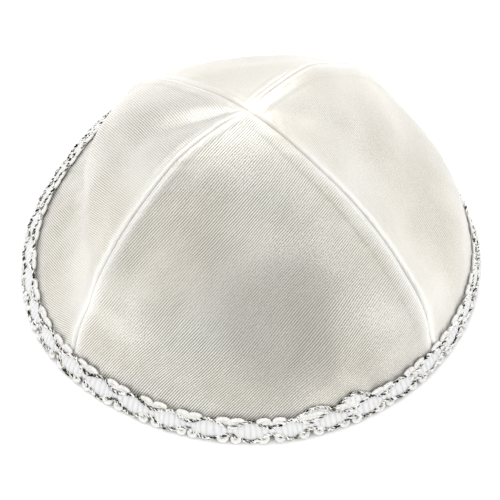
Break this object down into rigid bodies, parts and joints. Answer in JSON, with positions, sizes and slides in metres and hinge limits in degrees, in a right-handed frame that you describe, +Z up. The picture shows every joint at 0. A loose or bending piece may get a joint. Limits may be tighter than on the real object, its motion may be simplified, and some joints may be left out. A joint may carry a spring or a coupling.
{
  "type": "kippah skullcap",
  "caption": "Domed satin skullcap of sewn gores meeting at the crown, rimmed with silver-corded picot braid.",
  "frame": {"origin": "middle of the base of the cap's bounding box, at floor level", "axes": "+Z up through the crown, -Y towards the front gore, +X towards the right gore"},
  "size_m": [0.1674, 0.1712, 0.0748],
  "materials": {
    "satin": "ivory twill-backed satin, soft sheen",
    "white_braid": "matt white gimp braid",
    "silver_thread": "twisted metallised silver thread"
  },
  "bodies": {
    "root": {"panel_front": "satin", "panel_right": "satin", "panel_back": "satin", "panel_left": "satin", "braid_tape": "white_braid", "silver_cord_inner": "silver_thread", "silver_cord_outer": "silver_thread", "picot_edge_inner": "white_braid", "picot_edge_outer": "white_braid", "braid_lap": "white_braid"}
  },
  "joints": []
}
